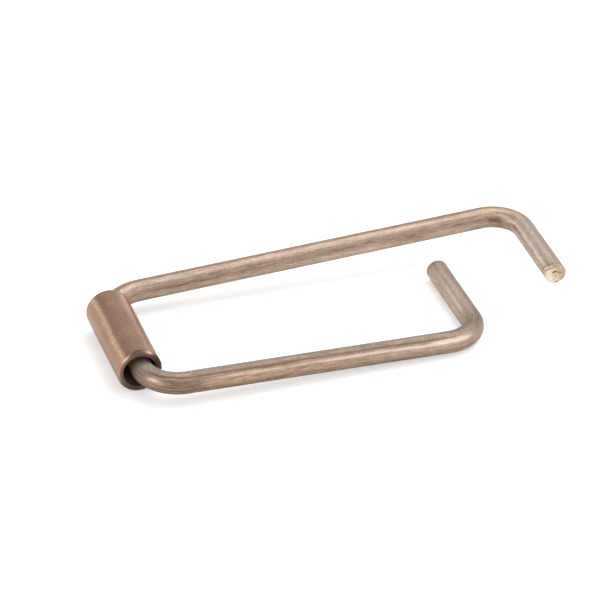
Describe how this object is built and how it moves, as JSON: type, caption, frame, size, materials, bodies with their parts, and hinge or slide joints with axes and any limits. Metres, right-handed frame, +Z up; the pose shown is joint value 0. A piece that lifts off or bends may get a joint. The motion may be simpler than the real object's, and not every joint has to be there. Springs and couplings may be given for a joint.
{
  "type": "spring clip",
  "caption": "Spring clip of bent round bronze wire: an open loop with hooked ends whose short cross leg carries a loose turning sleeve.",
  "frame": {"origin": "centre of the clip's outline, on the surface on which it lies", "axes": "+X along the arms from the sleeve to the hooks, +Y from the short near arm to the long far arm, +Z up"},
  "size_m": [0.0682, 0.0282, 0.0073],
  "materials": {
    "wire": "drawn bronze wire with a dull brown patina and fine lengthwise streaks",
    "sleeve": "darker copper-brown bronze tube, satin, with rounded brighter rims"
  },
  "bodies": {
    "clip": {"bent_wire": "wire"},
    "sleeve": {"roller_sleeve": "sleeve"}
  },
  "joints": [
    {"name": "sleeve_turn", "type": "hinge", "parent": "clip", "child": "sleeve", "pos_m": [-0.03084, 0.00035, 0.00323], "axis": [0, 1, 0], "continuous": true}
  ]
}
